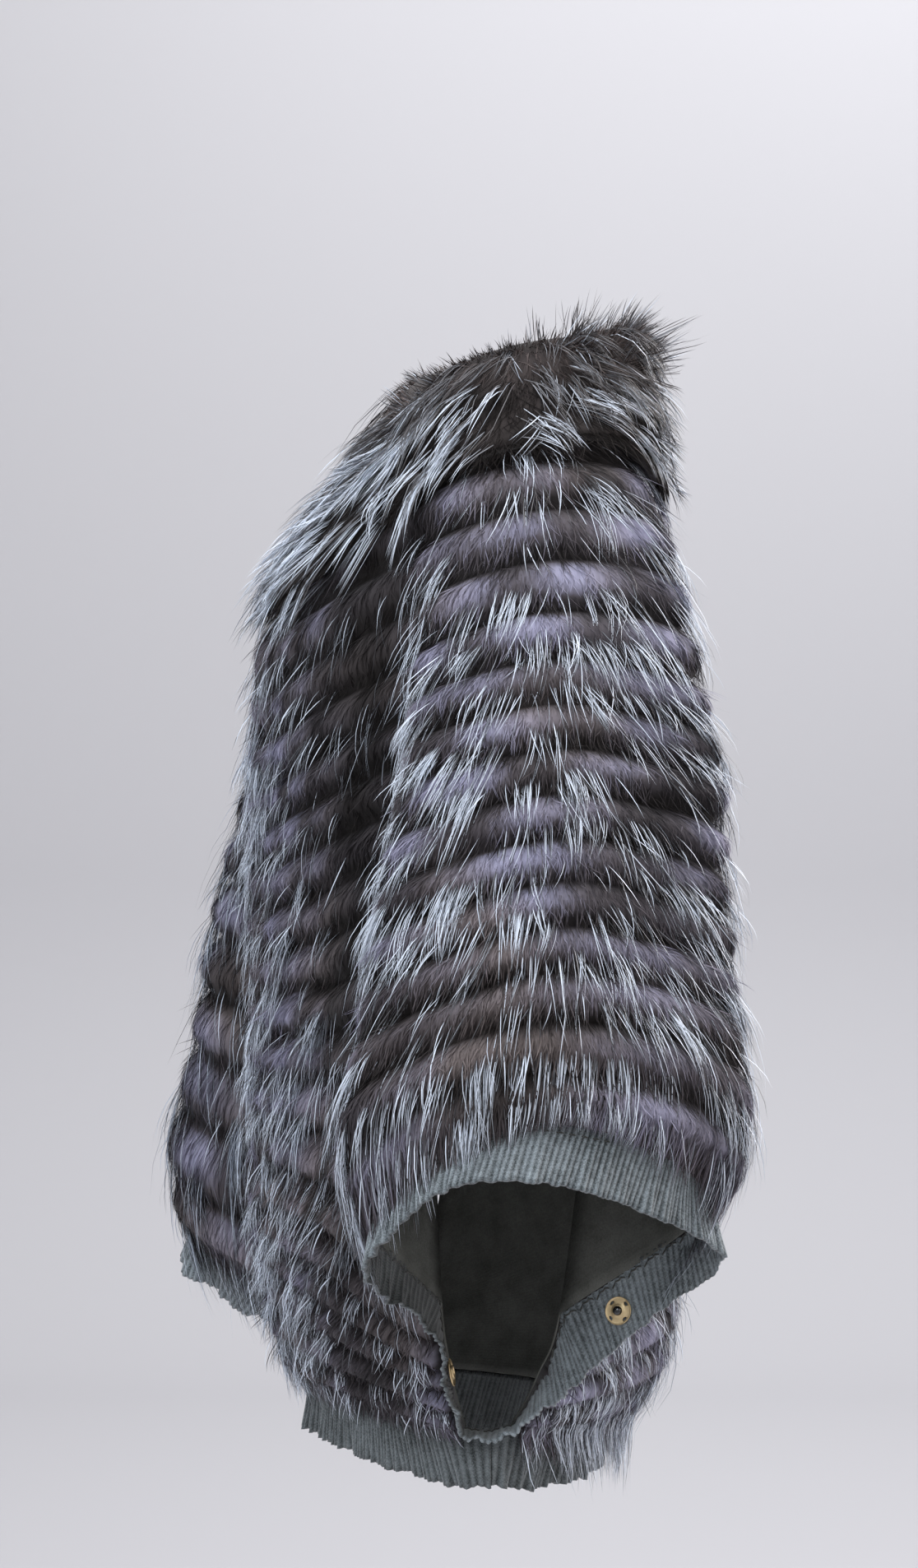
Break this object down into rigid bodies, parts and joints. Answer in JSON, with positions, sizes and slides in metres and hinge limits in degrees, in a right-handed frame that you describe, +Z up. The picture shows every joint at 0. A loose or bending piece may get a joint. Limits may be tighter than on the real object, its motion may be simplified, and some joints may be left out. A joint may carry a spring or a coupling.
{
  "type": "fur poncho coat",
  "caption": "Silver fox poncho coat on a knitted base, worn form: fur in level strips, combed collar, rib-knit hem and arm-opening bands, a press fastener at each opening.",
  "frame": {"origin": "Middle of the neck seam, in the opening where the neck passes through.", "axes": "+X is the wearer's left, +Y is the wearer's back and +Z is up, from the hem to the collar."},
  "size_m": [0.7098, 0.3734, 0.903],
  "materials": {
    "fur": "silver fox fur, dark violet-grey underfur with long white-tipped guard hairs",
    "rib_knit": "mottled grey-green wool rib knit",
    "fastener": "pale polished brass"
  },
  "bodies": {
    "root": {"front_panel": "fur", "back_panel": "fur", "sleeve_left": "fur", "sleeve_right": "fur", "collar": "fur", "cuff_band_left": "rib_knit", "cuff_band_right": "rib_knit", "hem_band_front": "rib_knit", "hem_band_back": "rib_knit", "press_stud_left": "fastener", "press_stud_right": "fastener", "press_socket_left": "fastener", "press_socket_right": "fastener"}
  },
  "joints": []
}
